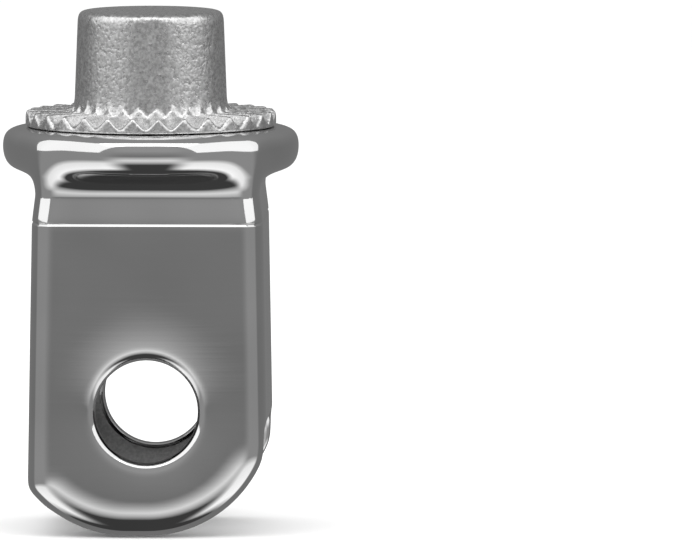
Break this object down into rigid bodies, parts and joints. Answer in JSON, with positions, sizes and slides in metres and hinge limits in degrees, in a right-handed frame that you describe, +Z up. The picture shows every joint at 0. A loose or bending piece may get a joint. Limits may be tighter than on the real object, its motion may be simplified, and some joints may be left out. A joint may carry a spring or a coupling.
{
  "type": "splined clevis mount",
  "caption": "Hollow two-eared clevis with a cross bore, a round collar, a ring of radial teeth and a tapered round spigot.",
  "frame": {"origin": "under the middle of the body, level with the lowest point of the ears", "axes": "+Z up along the spigot, Y along the pivot bore, +X towards the shorter web"},
  "size_m": [0.031, 0.031, 0.0542],
  "materials": {
    "bright_chrome": "polished",
    "rough_chrome": "as cast, plated without polishing",
    "washer_steel": "zinc plated",
    "screw_steel": "zinc plated"
  },
  "bodies": {
    "root": {"clevis_body": "bright_chrome", "toothed_spigot": "rough_chrome", "lock_washer": "washer_steel", "clamp_screw": "screw_steel"}
  },
  "joints": []
}
